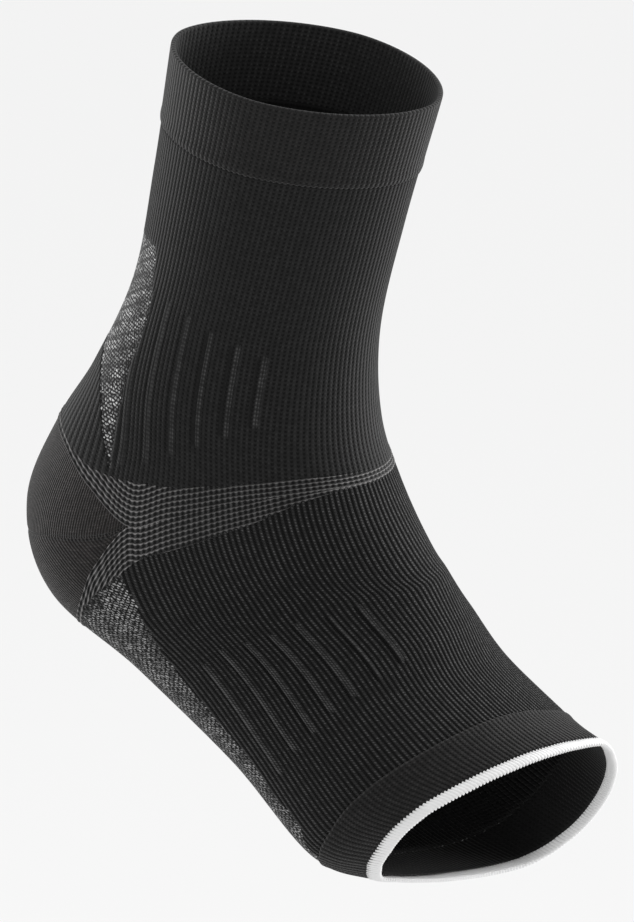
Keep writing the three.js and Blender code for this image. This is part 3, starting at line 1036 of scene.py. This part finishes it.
def makeForefoot():
    f, ends = forefoot, footSkin["ends"]
    profile = cuffProfile(f)
    slide = (ease(profile[:, 0], 0.0, f["scallopTo"]) - 1)[:, None] * scallops(footSkin, f["scallop"])
    points = ringPoints(footSkin, ends["forefoot"], ends["trim"] + sleeve["tuck"], profile, slide, f["ribs"])
    down = profile[:, 0] * sleeve["forefootHeight"] / sleeve["course"]
    piece = closedRing("forefootCuff", points, down, len(profile) // 2,
                       ribbedKnit("toeBandKnit", f["outside"], seam=True), sleeveInsideShaded)
    finishPiece(piece, "forefoot_cuff", f["flat"])


makeForefoot()

# The white overlock edge: slanted strands laid side by side over a narrow roll
trim = dict(
    stitches=215,
    lift=0.0003,
    wall=0.0010,
    ringRows=16,
    ringMiddle=0.53,     # share of the edge's width, as is the next
    ringReach=0.42,
    ringSquare=0.6,      # 1 is round, and less is squarer
    ringInset=0.0001,
    strandWide=0.0006,
    strandHigh=0.00026,
    slant=0.5,           # stitches that a strand leans over, half of it before and half after
    pathPoints=13,
    pathFrom=0.01,
    acrossSquare=0.7,
    overSquare=0.5,
    endGap=0.0002,
    taper=(0.6, 0.9),    # width of a strand at its ends and at the points beside them
    sides=8,
    yarn=(0.86, 0.97),
    # grey of the roll under the strands, as painted shade in the gaps between them
    coreShaded=(0.7, 0.85),
    # grey of the painted shade down the strands' sides
    sideShadeTone=0.25,
)


def overlockYarn(name, dark, light):
    # white yarn with painted shade down the sides of each strand
    shader = Shader(name)
    twist = shader.noise(1400.0, 3.0)
    color = shader.mixColors(twist.ramp(0, 1, 0.3, 0.7), gray(dark), gray(light))
    color = shader.mixColors(shader.mark().ramp(0, 1, 0.6, 1.0) * 0.6, color, gray(trim["sideShadeTone"]))
    shader.set(Base_Color=color, Roughness=0.7, Sheen_Weight=0.2, Normal=shader.bump(twist, 0.0001, 0.5))
    return shader.material


def between(column, lengths):
    # points and normals between two columns of the foot's skin
    low = int(math.floor(column)) % footSkin["columns"]
    part = column - math.floor(column)
    pointA, normalA = atLength(footSkin, low, lengths)
    pointB, normalB = atLength(footSkin, (low + 1) % footSkin["columns"], lengths)
    return pointA * (1 - part) + pointB * part, normalA * (1 - part) + normalB * part


def strandPaths():
    # for every strand, points from its inner end over the roll, and the skin's normals there
    t, ends = trim, footSkin["ends"]
    s = np.linspace(t["pathFrom"], 1 - t["pathFrom"], t["pathPoints"])
    down = np.sin(np.pi * s) ** t["acrossSquare"]
    middle, half = (t["lift"] - t["wall"]) / 2, (t["lift"] + t["wall"]) / 2
    lift = middle + half * signedPower(np.cos(np.pi * s), t["overSquare"])
    pitch = footSkin["columns"] / t["stitches"]
    paths, outwards = [], []
    for k in range(t["stitches"]):
        start, end = [np.interp(k * pitch, footSkin["list"], ends[name]) for name in ("trim", "end")]
        points, outward = np.empty((len(s), 3)), np.empty((len(s), 3))
        for i in range(len(s)):
            lean = (s[i] - 0.5) * 2 * t["slant"] * pitch
            length = start + down[i] * (end - start - t["endGap"])
            point, normal = between(k * pitch + lean, np.array([length]))
            points[i] = point[0] + normal[0] * lift[i]
            outward[i] = normal[0]
        paths.append(points)
        outwards.append(outward)
    return np.array(paths), np.array(outwards)


def makeStrands(name):
    # every strand a thin tube, all in one mesh
    t = trim
    paths, outward = strandPaths()
    along = np.gradient(paths, axis=1)
    along /= np.linalg.norm(along, axis=2, keepdims=True)
    side = np.broadcast_to(np.cross(paths[:, 2:3] - paths[:, :1], outward[:, :1]), along.shape)
    side = side - along * (side * along).sum(axis=2, keepdims=True)
    side /= np.linalg.norm(side, axis=2, keepdims=True)
    over = np.cross(side, along)
    turn = np.arange(t["sides"]) / t["sides"] * 2 * np.pi
    taper = np.ones(t["pathPoints"])
    taper[[0, -1]], taper[[1, -2]] = t["taper"]
    ring = (side[:, :, None] * np.cos(turn)[None, None, :, None] * t["strandWide"]
            + over[:, :, None] * np.sin(turn)[None, None, :, None] * t["strandHigh"])
    points = paths[:, :, None] + ring * taper[None, :, None, None]
    count, m, n = t["stitches"], t["pathPoints"], t["sides"]
    base = (np.arange(count) * m * n)[:, None, None]
    step, spin = base + np.arange(m - 1)[:, None] * n, np.arange(n)[None, :]
    after = (spin + 1) % n
    quads = np.stack([step + spin, step + after, step + n + after, step + n + spin], -1)
    faces = quads.reshape(-1, 4).tolist()
    for k in range(count):
        faces.append([k * m * n + i for i in range(n)][::-1])
        faces.append([k * m * n + (m - 1) * n + i for i in range(n)])
    mesh = bpy.data.meshes.new(name)
    mesh.from_pydata(points.reshape(-1, 3).tolist(), [], faces)
    mesh.uv_layers.new(name="knit")
    # painted shade: greyer toward each strand's sides
    sides = np.broadcast_to(np.abs(np.cos(turn)), (count, m, n)).astype(np.float32)
    mesh.attributes.new("stripe", "FLOAT", "POINT").data.foreach_set("value", sides.ravel())
    piece = bpy.data.objects.new(name, mesh)
    bpy.context.collection.objects.link(piece)
    return piece


def makeTrim():
    t, ends = trim, footSkin["ends"]
    turn = np.linspace(0, 2 * np.pi, t["ringRows"], endpoint=False)
    middle, half = (t["lift"] - t["wall"]) / 2, (t["lift"] + t["wall"]) / 2 - t["ringInset"]
    share = t["ringMiddle"] - t["ringReach"] * signedPower(np.cos(turn), t["ringSquare"])
    lift = middle + half * signedPower(np.sin(turn), t["ringSquare"])
    points = ringPoints(footSkin, ends["trim"], ends["end"], np.stack([share, lift], 1))
    piece = closedRing("toeTrim", points, np.arange(len(share)) / 2, 0,
                       overlockYarn("whiteOverlock", *t["yarn"]), overlockYarn("overlockCoreShaded", *t["coreShaded"]))
    pick(piece, makeStrands("toeStrands"))
    bpy.ops.object.join()
    mendMesh()
    bpy.ops.object.shade_smooth()
    piece.select_set(False)
    finishPiece(piece, "toe_trim")


makeTrim()

# Floor and light. The floor lies far below and glows as pale as the photo's paper
studio = dict(
    floorDepth=-0.6,
    floorSize=40,
    floorLevel=0.06,
    floorGlow=0.825,
    ambient=0.66,
    lights=[   # name, metres to the right, away and up, watts, size
        ("leftSoftbox", -1.15, 0.95, 0.25, 12.0, 0.9),
        ("rightSoftbox", 1.2, 0.50, 0.10, 18.0, 0.9),
        ("topSoftbox", 0.45, 0.35, 1.2, 9.0, 0.7),
        ("frontFill", 0.0, -1.7, 0.7, 3.0, 1.0),
    ],
)


def makeStudio():
    bpy.context.scene.view_settings.view_transform = "Standard"
    bpy.ops.mesh.primitive_plane_add(size=studio["floorSize"], location=(0, 0, 0))
    floor = bpy.context.active_object
    floor.name = "paleFloor"
    for vertex in floor.data.vertices:
        vertex.co.z = studio["floorDepth"]
    shader = Shader("palePaper")
    shader.set(Base_Color=gray(studio["floorLevel"]), Roughness=0.9, Emission_Color=gray(1.0),
               Emission_Strength=studio["floorGlow"])
    floor.data.materials.append(shader.material)
    world = bpy.data.worlds.new("studioWorld")
    bpy.context.scene.world = world
    world.use_nodes = True
    world.node_tree.nodes["Background"].inputs["Color"].default_value = (1, 1, 1, 1)
    world.node_tree.nodes["Background"].inputs["Strength"].default_value = studio["ambient"]
    a = math.radians(cameraView["azimuth"])
    right = Vector((math.cos(a), math.sin(a), 0))
    away = Vector((-math.sin(a), math.cos(a), 0))
    for name, aside, behind, high, power, size in studio["lights"]:
        data = bpy.data.lights.new(name, "AREA")
        data.energy = power
        data.size = size
        light = bpy.data.objects.new(name, data)
        bpy.context.collection.objects.link(light)
        light.location = right * aside + away * behind + Vector((0, 0, high))
        light.rotation_euler = (-light.location).to_track_quat("-Z", "Y").to_euler()
    print("studio lit")


makeStudio()
